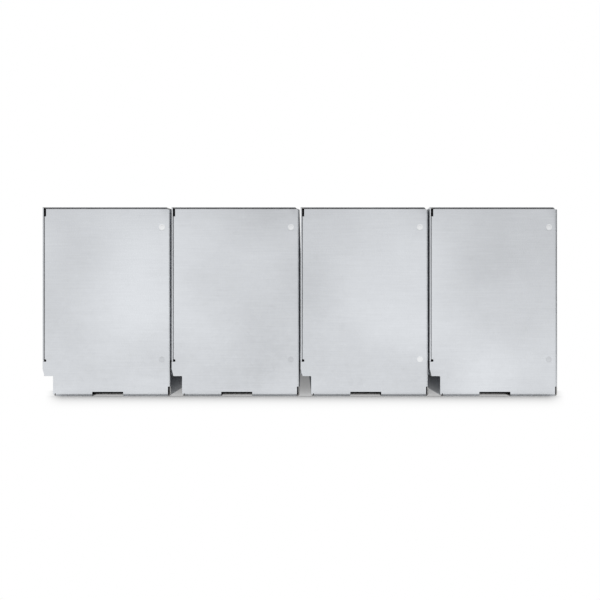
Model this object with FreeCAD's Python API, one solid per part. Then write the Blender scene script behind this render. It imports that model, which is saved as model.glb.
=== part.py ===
"""UPS battery pack: four like battery modules that stand in a row.

Each module is a long case folded from zinc-coated sheet steel. A row of sealed lead-acid blocks stands on end in it,
with the terminals to the left, behind a flat cover that closes the left side. Millimetres, +Z up, front ends toward
-Y, origin at the middle of the floor under the pack.
"""

import FreeCAD
import Part
import math
import os

V = FreeCAD.Vector

# The pack
module_count = 4
module_gap = 0.9

# Sealed lead-acid block, lying with its terminals to the left and its length upright
block_count = 8
block_length = 151.0
block_width = 65.0
block_height = 94.0
block_gap = 0.5
lid_height = 22.0
lid_inset = 0.6
base_chamfer = 2.0
vent_cover = (1.0, 26.0, 74.0)
terminal_inset = 8.0
terminal_drop = 12.0
tab_height = 6.5
tab_width = 6.35
tab_thickness = 0.8

# Sheet of the tray
sheet = 1.0
bend_inside = 1.0
bend_outside = bend_inside + sheet

# Flanges of the tray that the side cover lies on
seam_inside = 0.3
seam_outside = seam_inside + sheet
end_flange = 9.0
long_flange = 7.5
flange_corner = 14.0

# Side cover
cover_sheet = 1.0
cover_inset = 0.15

# Room round the blocks
front_space = 22.0
rear_space = 50.0
head_room = 6.0
step_clearance = 2.8

# Guide step along the bottom left edge
step_width = 8.8
step_height = 16.5

# Case, from what it holds
case_width = step_width + sheet + step_clearance + block_height + sheet
case_height = sheet + block_length + head_room + sheet
row_length = block_count * block_width + (block_count - 1) * block_gap
case_depth = front_space + row_length + rear_space
module_pitch = case_width + module_gap

# Cuts and reliefs of the end panels
slit_depth = 2.6
slit_length = 7.9
low_slit_length = 7.2
corner_relief = 2.2
tab_rise = 13.1
tab_slant = (1.4, 6.0)
relief_hole = 2.0
foot_width = 2.0
foot_drop = 1.4
weld_mark = 5.0
weld_mark_depth = 0.2
weld_inset = 7.3
weld_heights = (31.0, case_height - 17.1)

# Slot in the bottom edge of the front
slot_width = 26.0
slot_height = 3.2
slot_depth = 16.0
slot_offset = 0.95
slot_left = case_width / 2 + slot_offset - slot_width / 2

# Stop brackets
stop_clearance = 0.3
stop_flange = 10.0
stop_face = 48.0
stop_edge = 3.0
stop_low = 20.0
stop_high = case_height - 9.0

# Links and leads
link_sheet = 0.8
link_clearance = 0.3
lead_diameter = 5.0
lead_bend = 15.0
lug_sheet = 1.0
lug_overlap = 3.0
insulation = 0.8
insulation_reach = 57.0

# Connector in the rear end
connector_size = (24.0, 34.0, 44.0)
connector_left = 24.0
connector_wall = 3.0
connector_well = 16.0
connector_entry = 26.0
connector_flange = (35.0, 2.5, 62.0)
connector_fit = 0.2
pole_pitch = 20.0
contact_size = (1.6, 10.0, 8.0)
connector_ear = 5.0

# Flush screws
screw_shank = 3.0
screw_head = 5.4
screw_clearance = 0.2
screw_inset = 4.4
screw_length = 4.5
screw_margin = 40.0

# Places that several pieces share
block_right = case_width - sheet
block_left = block_right - block_height
block_foot = sheet
block_top = block_foot + block_length
terminal_z = block_top - terminal_drop
tab_tip = block_left - tab_height
link_outer = tab_tip - link_clearance - link_sheet
lead_x = block_left - lead_diameter / 2 - 1.0
pole_heights = (terminal_z - 12.2, terminal_z - 12.2 - pole_pitch)
seam = cover_sheet + seam_outside
relief_x = (cover_sheet + slit_depth) / 2
tab_top = step_height + tab_rise
insulation_low = step_height + long_flange + insulation
insulation_x = cover_sheet + (link_outer - cover_sheet - insulation) / 2
connector_mid_x = connector_left + connector_size[0] / 2
connector_mid_z = sum(pole_heights) / 2


def in_xz(y):
    """Places a flat outline in the upright plane at depth y."""
    return lambda u, v: V(u, y, v)


def in_xy(z):
    """Places a flat outline in the level plane at height z."""
    return lambda u, v: V(u, v, z)


def in_yz(x):
    """Places a flat outline in the plane across the pack at x."""
    return lambda u, v: V(x, u, v)


def rounded_face(corners, place):
    """Face inside corners of (u, v, radius), each corner rounded where its radius isn't zero."""
    turns = []
    for i, (u, v, radius) in enumerate(corners):
        here = V(u, v, 0)
        if not radius:
            turns.append((here, None, here))
            continue
        last = corners[i - 1]
        following = corners[(i + 1) % len(corners)]
        back = (V(last[0], last[1], 0) - here).normalize()
        ahead = (V(following[0], following[1], 0) - here).normalize()
        half = back.getAngle(ahead) / 2
        reach = radius / math.tan(half)
        crown = (back + ahead).normalize() * (radius / math.sin(half) - radius)
        turns.append((here + back * reach, here + crown, here + ahead * reach))
    edges = []
    for i, (start, crown, end) in enumerate(turns):
        if crown is not None:
            points = [place(p.x, p.y) for p in (start, crown, end)]
            edges.append(Part.Arc(*points).toShape())
        onward = turns[(i + 1) % len(turns)][0]
        if end.distanceToPoint(onward) > 1e-6:
            edges.append(Part.makeLine(place(end.x, end.y), place(onward.x, onward.y)))
    return Part.Face(Part.Wire(Part.__sortEdges__(edges)))


def folded(path, thickness, insides, place, along):
    """Sheet strip folded along a path of sharp outer corners, with its thickness to the left, drawn out along.

    Each corner of the path has its own inside radius.
    """
    steps = [(V(b[0], b[1], 0) - V(a[0], a[1], 0)).normalize() for a, b in zip(path, path[1:])]
    sides = [V(-s.y, s.x, 0) for s in steps]
    near = [(path[0][0], path[0][1], 0)]
    far = [(path[0][0] + sides[0].x * thickness, path[0][1] + sides[0].y * thickness, 0)]
    for i in range(1, len(path) - 1):
        left_turn = steps[i - 1].cross(steps[i]).z > 0
        inside = insides[i - 1]
        shift = (sides[i - 1] + sides[i]) * (thickness / (1 + sides[i - 1].dot(sides[i])))
        near.append((path[i][0], path[i][1], inside + thickness if left_turn else inside))
        far.append((path[i][0] + shift.x, path[i][1] + shift.y, inside if left_turn else inside + thickness))
    near.append((path[-1][0], path[-1][1], 0))
    far.append((path[-1][0] + sides[-1].x * thickness, path[-1][1] + sides[-1].y * thickness, 0))
    return rounded_face(near + far[::-1], place).extrude(along)


def flat(corners, place, along):
    """Plate of a sharp-cornered outline, drawn out along."""
    return rounded_face([(u, v, 0) for u, v in corners], place).extrude(along)


def block(low, high):
    """Box between two corners."""
    return Part.makeBox(high[0] - low[0], high[1] - low[1], high[2] - low[2], V(*low))


def joined(shapes):
    """One solid of shapes that touch or overlap."""
    return shapes[0].fuse(shapes[1:]).removeSplitter()


def from_rear(shape):
    """The same shape at the rear end of the case."""
    return shape.mirror(V(0, case_depth / 2, 0), V(0, 1, 0))


def end_panel():
    """End of the tray with its tab, its rolled edges and the flange for the cover, laid at the front."""
    width = case_width
    height = case_height
    bend = bend_outside
    outline = [
        (step_width, step_height),
        (step_width, foot_drop),
        (step_width + foot_width, foot_drop),
        (step_width + foot_width, bend),
        (width - bend, bend),
        (width - bend, height - bend),
        (slit_depth, height - bend),
        (slit_depth, height - slit_length),
        (seam, height - slit_length),
        (seam, tab_top),
        (0, tab_top),
        (0, step_height + tab_slant[1]),
        (tab_slant[0], step_height),
    ]
    plate = flat(outline, in_xz(0), V(0, sheet, 0))
    top_path = [(bend, height), (0, height), (0, height - bend)]
    top_length = width - corner_relief - slit_depth
    top = folded(top_path, sheet, [bend_inside], in_yz(slit_depth), V(top_length, 0, 0))
    low_path = [(0, bend), (0, 0), (bend, 0)]
    low_start = step_width + foot_width
    low = folded(low_path, sheet, [bend_inside], in_yz(low_start), V(width - bend - low_start, 0, 0))
    side_path = [(width - bend, 0), (width, 0), (width, bend)]
    side_length = height - corner_relief - low_slit_length
    side = folded(side_path, sheet, [bend_inside], in_xy(low_slit_length), V(0, 0, side_length))
    step_path = [(seam, step_height), (step_width, step_height), (step_width, bend)]
    step = folded(step_path, sheet, [bend_inside], in_xz(sheet), V(0, bend - sheet, 0))
    flange_path = [(cover_sheet, end_flange), (cover_sheet, 0), (seam, 0)]
    flange_low = tab_top + relief_hole / 2
    flange_length = height - slit_length - flange_low
    flange = folded(flange_path, sheet, [seam_inside], in_xy(flange_low), V(0, 0, flange_length))
    panel = joined([plate, top, low, side, step, flange])
    cuts = [Part.makeCylinder(relief_hole / 2, 4 * sheet, V(relief_x, -sheet, tab_top), V(0, 1, 0))]
    for z in weld_heights:
        cuts.append(Part.makeCylinder(weld_mark / 2, weld_mark_depth, V(width - weld_inset, 0, z), V(0, 1, 0)))
    return panel.cut(cuts)


def countersink(top, axis):
    """Hole for a flush screw, from its top face down through the sheets below."""
    slack = screw_clearance / 2
    cone = Part.makeCone(screw_head / 2 + slack, screw_shank / 2 + slack, sheet, top, axis)
    return cone.fuse(Part.makeCylinder(screw_shank / 2 + slack, 8.0, top, axis))


def screw_places():
    """Top point and inward direction of each screw of a case."""
    places = []
    span = case_depth - 2 * screw_margin
    for z in (step_height + screw_inset, case_height - screw_inset):
        for i in range(3):
            places.append((V(0, screw_margin + span * i / 2, z), V(1, 0, 0)))
    for way in (-1, 1):
        z = connector_mid_z + way * (connector_flange[2] / 2 - connector_ear + 0.5)
        places.append((V(connector_mid_x, case_depth, z), V(0, -1, 0)))
    return places


def channel(start, length, flange):
    """Stretch of the tray between its ends, with or without the two flanges for the cover."""
    path = [
        (cover_sheet, step_height),
        (step_width, step_height),
        (step_width, 0),
        (case_width, 0),
        (case_width, case_height),
        (cover_sheet, case_height),
    ]
    insides = [bend_inside] * 4
    if flange:
        path = [(cover_sheet, step_height + flange)] + path + [(cover_sheet, case_height - flange)]
        insides = [seam_inside] + insides + [seam_inside]
    return folded(path, sheet, insides, in_xz(start), V(0, length, 0))


def case_tray():
    """Folded tray: channel with its guide step and flanges, closed by the two end panels."""
    corner = flange_corner - bend_outside
    parts = [
        channel(bend_outside, corner, 0),
        channel(flange_corner, case_depth - 2 * flange_corner, long_flange),
        channel(case_depth - flange_corner, corner, 0),
        end_panel(),
        from_rear(end_panel()),
    ]
    cuts = [block((slot_left, -1, -1), (slot_left + slot_width, slot_depth, slot_height))]
    window_low = (
        connector_left - connector_fit,
        case_depth - 2 * sheet,
        connector_mid_z - connector_size[2] / 2 - connector_fit,
    )
    window_high = (
        connector_left + connector_size[0] + connector_fit,
        case_depth + 1,
        connector_mid_z + connector_size[2] / 2 + connector_fit,
    )
    cuts.append(block(window_low, window_high))
    for top, axis in screw_places():
        cuts.append(countersink(top, axis))
    return joined(parts).cut(cuts)


def side_cover():
    """Flat cover that lies on the flanges of the left side, behind the tabs of the two ends."""
    low = step_height + cover_inset
    high = case_height - cover_inset
    over_tab = tab_top + cover_inset
    behind_tab = sheet + cover_inset
    outline = [
        (behind_tab, low),
        (case_depth - behind_tab, low),
        (case_depth - behind_tab, over_tab),
        (case_depth - cover_inset, over_tab),
        (case_depth - cover_inset, high),
        (cover_inset, high),
        (cover_inset, over_tab),
        (behind_tab, over_tab),
    ]
    plate = flat(outline, in_yz(0), V(cover_sheet, 0, 0))
    return plate.cut([countersink(top, axis) for top, axis in screw_places()[:6]])


def block_start(index):
    """Front face of one battery block."""
    return front_space + index * (block_width + block_gap)


def terminal_places(index):
    """Depth of the two terminals of one battery block."""
    start = block_start(index)
    return start + terminal_inset, start + block_width - terminal_inset


def battery(index):
    """Sealed lead-acid block with its lid, vent cover and two terminal tabs."""
    lid = block_left + lid_height
    outline = [
        (block_right, block_foot + base_chamfer),
        (block_right, block_top - base_chamfer),
        (block_right - base_chamfer, block_top),
        (lid, block_top),
        (lid, block_top - lid_inset),
        (block_left, block_top - lid_inset),
        (block_left, block_foot + lid_inset),
        (lid, block_foot + lid_inset),
        (lid, block_foot),
        (block_right - base_chamfer, block_foot),
    ]
    start = block_start(index)
    pieces = [flat(outline, in_xz(start), V(0, block_width, 0))]
    rise, across, length = vent_cover
    vent_y = start + (block_width - across) / 2
    vent_z = block_foot + 22.0
    pieces.append(block((block_left - rise, vent_y, vent_z), (block_left, vent_y + across, vent_z + length)))
    for y in terminal_places(index):
        tab_low = (tab_tip, y - tab_thickness / 2, terminal_z - tab_width / 2)
        tab_high = (block_left, y + tab_thickness / 2, terminal_z + tab_width / 2)
        pieces.append(block(tab_low, tab_high))
    return joined(pieces)


def link(index):
    """Strap from the second terminal of one block to the first terminal of the next."""
    first = terminal_places(index)[1] + tab_thickness / 2
    second = terminal_places(index + 1)[0] - tab_thickness / 2
    root = block_left - 0.8
    path = [(root, second), (link_outer, second), (link_outer, first), (root, first)]
    return folded(path, link_sheet, [0.6, 0.6], in_xy(terminal_z - tab_width / 2), V(0, 0, tab_width))


def lead(terminal_y, way, z):
    """Lug on an end terminal and the lead from it, round a bend and into the side of the connector."""
    face = terminal_y + way * tab_thickness / 2
    lug_y = sorted((face, face + way * lug_sheet))
    lug_low = (lead_x - 2.4, lug_y[0], z - lug_overlap)
    lug_high = (lead_x + 2.4, lug_y[1], terminal_z + lug_overlap)
    lug = block(lug_low, lug_high)
    turn = case_depth - connector_entry - lead_bend
    corner = lead_bend * (1 - math.sqrt(0.5))
    points = [
        V(lead_x, lug_y[0] + lug_sheet / 2, z),
        V(lead_x, turn, z),
        V(lead_x + corner, turn + lead_bend - corner, z),
        V(lead_x + lead_bend, turn + lead_bend, z),
        V(connector_left, turn + lead_bend, z),
    ]
    edges = [
        Part.makeLine(points[0], points[1]),
        Part.Arc(points[1], points[2], points[3]).toShape(),
        Part.makeLine(points[3], points[4]),
    ]
    section = Part.Wire(Part.makeCircle(lead_diameter / 2, points[0], V(0, 1, 0)))
    core = Part.Wire(edges).makePipeShell([section], True, False)
    return joined([lug, core])


def wiring():
    """Links along the row and the two output leads."""
    pieces = [link(i) for i in range(block_count - 1)]
    pieces.append(lead(terminal_places(0)[0], -1, pole_heights[0]))
    pieces.append(lead(terminal_places(block_count - 1)[1], 1, pole_heights[1]))
    return Part.makeCompound(pieces)


def dc_connector():
    """Two-pole connector, flush in the rear end, with a flange behind the panel."""
    width, depth, height = connector_size
    low = (connector_left, case_depth - depth, connector_mid_z - height / 2)
    high = (connector_left + width, case_depth, connector_mid_z + height / 2)
    flange_width, flange_depth, flange_height = connector_flange
    back = case_depth - sheet
    flange_low = (connector_mid_x - flange_width / 2, back - flange_depth, connector_mid_z - flange_height / 2)
    flange_high = (connector_mid_x + flange_width / 2, back, connector_mid_z + flange_height / 2)
    wall = connector_wall
    well_low = (low[0] + wall, case_depth - connector_well, low[2] + wall)
    well_high = (high[0] - wall, case_depth + 1, high[2] - wall)
    body = joined([block(low, high), block(flange_low, flange_high)])
    cuts = [block(well_low, well_high)]
    for top, axis in screw_places()[6:]:
        cuts.append(Part.makeCylinder((screw_shank + screw_clearance) / 2, 8.0, top, axis))
    body = body.cut(cuts)
    pieces = [body]
    thickness, length, wide = contact_size
    for z in pole_heights:
        contact_low = (connector_mid_x - thickness / 2, well_low[1], z - wide / 2)
        contact_high = (connector_mid_x + thickness / 2, well_low[1] + length, z + wide / 2)
        pieces.append(block(contact_low, contact_high))
    return Part.makeCompound(pieces)


def stop_bracket(space):
    """Bracket from the back of an end panel to the end of the row of blocks, laid at the front."""
    face = space - stop_clearance - sheet
    left = case_width - stop_edge - stop_flange
    path = [(left - stop_face, face), (left, face), (left, sheet), (case_width - stop_edge, sheet)]
    return folded(path, sheet, [bend_inside, bend_inside], in_xy(stop_low), V(0, 0, stop_high - stop_low))


def end_stops():
    """Stop brackets at the two ends of the row."""
    return Part.makeCompound([stop_bracket(front_space), from_rear(stop_bracket(rear_space))])


def insulating_sheet():
    """Folded sheet that lies on the blocks and hangs between their terminals and the cover."""
    top = block_top + insulation
    path = [(insulation_x + insulation_reach, top), (insulation_x, top), (insulation_x, insulation_low)]
    return folded(path, insulation, [0.8], in_xz(front_space), V(0, row_length, 0))


def case_screws():
    """Flush screws of the cover and the connector."""
    screws = []
    for top, axis in screw_places():
        head = Part.makeCone(screw_head / 2, screw_shank / 2, sheet, top, axis)
        shank = Part.makeCylinder(screw_shank / 2, screw_length - sheet, top + axis * sheet, axis)
        screws.append(joined([head, shank]))
    return Part.makeCompound(screws)


def main():
    os.makedirs("parts", exist_ok=True)
    pieces = {
        "case_tray": case_tray(),
        "side_cover": side_cover(),
        "wiring": wiring(),
        "dc_connector": dc_connector(),
        "end_stops": end_stops(),
        "insulating_sheet": insulating_sheet(),
        "case_screws": case_screws(),
    }
    blocks = [battery(i) for i in range(block_count)]
    pack_width = (module_count - 1) * module_pitch + case_width
    for number in range(module_count):
        place = V(number * module_pitch - pack_width / 2, -case_depth / 2, 0)
        for name, shape in pieces.items():
            shape.translated(place).exportStep(f"parts/{name}_{number + 1}.step")
        for index, shape in enumerate(blocks):
            shape.translated(place).exportStep(f"parts/battery_{number + 1}_{index + 1}.step")


main()
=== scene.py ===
"""Looks of a UPS battery pack: four battery modules in cases folded from zinc-coated sheet steel.

Runs as a script in Blender 4.5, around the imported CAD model. Metres, +Z up, front ends toward -Y.
"""

import math

import bmesh
import bpy
from bmesh.types import BMEdge, BMFace, BMVert
from bpy.props import FloatProperty, FloatVectorProperty, IntProperty, PointerProperty
from mathutils import Matrix, Vector


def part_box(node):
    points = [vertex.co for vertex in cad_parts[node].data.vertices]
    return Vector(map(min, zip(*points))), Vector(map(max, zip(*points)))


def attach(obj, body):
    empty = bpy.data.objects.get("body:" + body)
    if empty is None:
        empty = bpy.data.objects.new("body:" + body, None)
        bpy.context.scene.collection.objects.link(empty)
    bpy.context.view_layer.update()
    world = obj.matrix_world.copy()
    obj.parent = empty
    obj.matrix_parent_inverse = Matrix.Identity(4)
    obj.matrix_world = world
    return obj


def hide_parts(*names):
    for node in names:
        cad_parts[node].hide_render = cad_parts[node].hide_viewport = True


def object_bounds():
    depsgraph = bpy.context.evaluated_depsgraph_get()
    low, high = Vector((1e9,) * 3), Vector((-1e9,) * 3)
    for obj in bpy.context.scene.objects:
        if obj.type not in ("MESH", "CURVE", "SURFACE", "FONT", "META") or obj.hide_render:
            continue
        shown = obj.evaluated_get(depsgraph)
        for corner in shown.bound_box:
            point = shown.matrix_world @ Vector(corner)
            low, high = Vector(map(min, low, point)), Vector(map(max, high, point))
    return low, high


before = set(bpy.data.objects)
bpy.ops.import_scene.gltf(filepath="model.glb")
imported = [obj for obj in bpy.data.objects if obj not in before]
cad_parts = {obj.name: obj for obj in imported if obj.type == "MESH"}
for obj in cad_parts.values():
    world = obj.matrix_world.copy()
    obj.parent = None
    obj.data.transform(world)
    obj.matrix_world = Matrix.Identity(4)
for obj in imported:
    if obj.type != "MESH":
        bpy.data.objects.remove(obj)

bl_info = {
    "name": "UPS battery pack",
    "version": (1, 0, 0),
    "blender": (4, 5, 0),
    "location": "3D View > Sidebar > Battery Pack",
    "description": "Dresses the four modules of a UPS battery pack and sets their stage",
    "category": "Object",
}

CAD_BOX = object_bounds()
CASE_LOW, CASE_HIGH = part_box("case_tray_1")
CASE = CASE_HIGH - CASE_LOW
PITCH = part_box("case_tray_2")[0].x - CASE_LOW.x
X, Y, Z = 0, 1, 2
# Distance of places that are the same, of corners that are merged, and a place past every panel
NEAR = 1e-6
MERGED = 5e-6
BEYOND = 1.0
# Angles between faces, in radians, up to which they are one panel and from which they make a fold
FLAT_ANGLE = 0.01
FOLD_ANGLE = 1.2
# Edges round a fold, a quarter of a hole, a corner of the relief over a tab and a broken edge
FOLD_STEPS = 6
ARC_STEPS = 8
RELIEF_STEPS = 4
EDGE_STEPS = 2
# Angle between faces from which their edge is broken, and how much large faces count in the shading
EDGE_ANGLE = math.radians(40)
SHADING_WEIGHT = 80
# Share of the relief over a tab that its rounded corners take
RELIEF_ROUND = 0.72
# Half of the cell round a weld mark, per diameter, and round a hole, per radius
WELD_CELL = 0.65
HOLE_CELL = 1.2
# Rings of a weld mark from outside to inside: shares of its radius and of its depth
WELD_RINGS = ((0.93, 0.75), (0.86, 1.0), (0.79, 0.8), (0.70, 0.45), (0.35, 0.3))
# Screws of the cover along its length
SCREW_SHARES = (0.0, 0.5, 1.0)
# Tip of a screw as a share of its length, and its end as a share of the shank
SCREW_TIP = 0.12
SCREW_END = 0.6
# Cross recess of a screw, as shares of the head's radius, and how far it tapers
HEAD_RIM = 0.12
CROSS_ARM = 0.62
CROSS_SLOT = 0.13
CROSS_FIELD = 0.9
CROSS_DEPTH = 0.4
CROSS_TAPER = 0.7
# Places of the finishes, and of the painted shade inside a tray and a cover, among the materials of a tray, a
# cover and a connector
CUT_EDGE, BRIGHT_WELD, DULL_WELD, TRAY_SHADE_PAINT = 1, 2, 3, 4
COVER_ZINC, COVER_SHADE_PAINT = 0, 1
CONTACT = 1
# Shares of the zinc's layers in its tone, and the tones that are fully dark and fully light
# The broad cloudy layer is partly the zinc's own tone and partly painted sheen, lighter and darker where a
# slightly wavy sheet would mirror the room unevenly
CLOUDS_AND_SHEEN, PATCHES, MOTTLE, ROLLING, CRYSTALS = 0.62, 0.10, 0.18, 0.16, 0.07
ZINC_TONES = (0.361, 0.748)
# Distance in the pattern of the zinc from one module's sheet to the next
SHEET_SHIFT = 0.83
# How much finer the grain of plated metal is than its patches
GRAIN_FINENESS = 8
# Shade before the pack: how steeply it fades and how deep it is
SHADE_FALL = 3.5
SHADE_DEEP = 0.88
# How much wider the shade is under the pack, and the depth there at which it is that wide
SHADE_WIDER, WIDER_DEPTH = 0.0125, 0.05
# Floor as bare metal mirrors it: where its white begins before the pack, where it turns dim at the
# sides, how far that moves outward per length before the pack, and the share of the glow
MIRROR_START = (0.002, 0.012)
MIRROR_RIGHT, RIGHT_SPREAD = (0.15, 0.60), 0.6
MIRROR_LEFT, LEFT_SPREAD = (-0.60, -0.25), 0.9
MIRROR_GLOW = 0.15
FLOOR_HALF = 30.0
# Ranges of a direction's parts over which the light of the room changes
WALL_RISE = (0.08, 0.70)
DIM_RIGHT, DIM_LEFT = (0.32, 0.75), (-0.85, -0.45)
LIT_BACK, LIT_HIGH = (0.10, 0.45), (0.12, 0.32)
CEILING_RUN = (-0.10, 0.50)
WHITE = (1.0, 1.0, 1.0, 1.0)
# Size and place of each softbox
OVERHEAD_BOX = ((1.6, 1.2), (0.0, -0.1, 1.6))
FRONT_BOX = ((1.8, 0.5), (0.0, -2.3, 0.45))
# Sensor of the camera in millimetres and the range of its view
SENSOR = 36.0
VIEW_RANGE = (0.01, 100.0)


def length(name, description, millimetres):
    """Property for a size, with its default given in millimetres."""
    return FloatProperty(
        name=name,
        description=description,
        default=millimetres / 1000,
        precision=5,
        unit="LENGTH",
        subtype="DISTANCE",
    )


def amount(name, description, default, unit="NONE"):
    """Property for a plain value."""
    return FloatProperty(name=name, description=description, default=default, unit=unit)


def count(name, description, default):
    """Property for a whole number."""
    return IntProperty(name=name, description=description, default=default, min=1)


def colour(name, description, default):
    """Property for a colour, as linear red, green and blue."""
    return FloatVectorProperty(
        name=name, description=description, default=default, size=3, min=0.0, max=1.0, subtype="COLOR"
    )


class BATTERYPACK_PG_sizes(bpy.types.PropertyGroup):
    """Sizes of the cases and of what shows on them."""

    modules: count("Modules", "Battery modules in the row", 4)
    blocks: count("Blocks", "Battery blocks in one module", 8)
    width: length("Case width", "Outer width of one case", CASE.x * 1000)
    depth: length("Case depth", "Outer length of one case from front to rear", CASE.y * 1000)
    height: length("Case height", "Outer height of one case", CASE.z * 1000)
    sheet: length("Tray sheet", "Thickness of the tray's steel", 1.0)
    fold: length("Tray fold", "Outside radius of the tray's folds", 2.0)
    seam_fold: length("Seam fold", "Outside radius of the folds along the cover's seam", 1.3)
    edge: length("Broken edge", "Radius of the broken cut edges", 0.06)
    step_width: length("Step width", "Width of the guide step at the bottom left", 8.8)
    step_height: length("Step height", "Height of the guide step at the bottom left", 16.85)
    slit_depth: length("Slit depth", "Inner edge of the relief slit at the top left", 2.95)
    slit_length: length("Slit length", "Length of the relief slit at the top left", 7.9)
    low_slit: length("Low slit", "Length of the relief slit at the bottom right", 8.0)
    low_slit_depth: length("Low slit depth", "Inner edge of the relief slit at the bottom right", 2.2)
    corner_relief: length("Corner relief", "Side of the relieved corners at the right", 2.0)
    corner_depth: length("Corner depth", "Length of the relieved corner at the top right", 14.0)
    corner_slant: length("Corner slant", "Slant of the top fold's end at the relieved corner", 1.7)
    tab_rise: length("Tab rise", "Height of the tab over the guide step", 13.1)
    tab_slant_across: length("Tab slant across", "Width of the tab's slanted corner", 1.6)
    tab_slant_up: length("Tab slant up", "Height of the tab's slanted corner", 6.0)
    relief_hole: length("Relief hole", "Height of the rounded relief over the tab", 2.0)
    relief_reach: length("Relief reach", "Inner edge of the rounded relief over the tab", 3.1)
    foot_width: length("Foot width", "Width of the relieved corner at the bottom left", 2.2)
    foot_drop: length("Foot drop", "Height of the relieved corner at the bottom left", 1.4)
    foot_gap: length("Foot gap", "Width of the cut between the foot and the bottom fold", 0.65)
    foot_relief: length("Foot relief", "Height of that cut over the bottom fold", 0.35)
    slot_left: length("Slot left", "Left end of the slot in the bottom edge", 41.75)
    slot_width: length("Slot width", "Width of the slot in the bottom edge", 26.0)
    slot_height: length("Slot height", "Height of the slot in the front panel", 3.6)
    slot_depth: length("Slot depth", "Length of the slot along the bottom", 16.0)
    bright_low: count("Bright low weld", "Module whose lower weld mark is bright too", 3)
    weld_mark: length("Weld mark", "Diameter of a spot-weld mark", 5.0)
    weld_depth: length("Weld depth", "Depth of the ring round a spot-weld mark", 0.06)
    weld_inset: length("Weld inset", "Distance of the spot-weld marks from the right side", 7.3)
    weld_low: length("Low weld", "Height of the lower spot-weld mark", 31.0)
    weld_high: length("High weld", "Height of the upper spot-weld mark", 141.9)
    # The zinc's broad cloudy layer, partly painted sheen, runs on over the gaps between modules up to this
    # depth
    front_clouds_and_sheen: length("Front clouds", "Depth up to which the clouds in the zinc run on over the gaps", 3.0)
    cover_sheet: length("Cover sheet", "Thickness of the side cover's steel", 1.0)
    cover_inset: length("Cover inset", "Distance of the cover's edges from the outline of the case", 0.15)
    cover_corner: length("Cover corner", "Length of the cover's cut-out behind the slant of a tab", 18.0)
    end_flange: length("End flange", "Width of the end panels' flanges behind the cover", 9.0)
    long_flange: length("Long flange", "Width of the long flanges behind the cover", 7.15)
    flange_corner: length("Flange corner", "Distance of the upper long flange from the ends", 30.0)
    low_corner: length("Low flange corner", "Distance of the lower long flange from the ends", 3.0)
    screw_head: length("Screw head", "Diameter of a flush screw's head", 5.4)
    screw_shank: length("Screw shank", "Diameter of a flush screw's shank", 3.0)
    screw_length: length("Screw length", "Length of a flush screw", 4.5)
    screw_fit: length("Screw fit", "Room round a screw in its hole", 0.1)
    screw_inset: length("Screw inset", "Distance of the cover's screws from its long edges", 4.4)
    screw_margin: length("Screw margin", "Distance of the outer screws from the ends", 40.0)
    connector_left: length("Connector left", "Left side of the rear connector", 24.0)
    connector_width: length("Connector width", "Width of the rear connector", 24.0)
    connector_depth: length("Connector depth", "Length of the rear connector", 34.0)
    connector_height: length("Connector height", "Height of the rear connector", 44.0)
    connector_middle: length("Connector middle", "Height of the rear connector's middle", 117.8)
    connector_wall: length("Connector wall", "Wall round the connector's well", 3.0)
    connector_edge: length("Connector edge", "Radius of the connector's edges", 0.45)
    connector_well: length("Connector well", "Depth of the connector's well", 16.0)
    connector_fit: length("Connector fit", "Room round the connector in the rear end", 0.2)
    flange_width: length("Flange width", "Width of the connector's flange", 35.0)
    flange_height: length("Flange height", "Height of the connector's flange", 62.0)
    flange_sheet: length("Flange sheet", "Thickness of the connector's flange", 2.5)
    flange_screw: length("Flange screw", "Distance of the flange's screws from its middle", 26.5)
    pole_pitch: length("Pole pitch", "Distance between the connector's contacts", 20.0)
    contact_width: length("Contact width", "Width of a contact blade", 8.0)
    contact_sheet: length("Contact sheet", "Thickness of a contact blade", 1.6)
    contact_length: length("Contact length", "Length of a contact blade", 10.0)
    tab_end: length("Tab end", "Place in a case that the battery terminals end before", 12.5)


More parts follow.
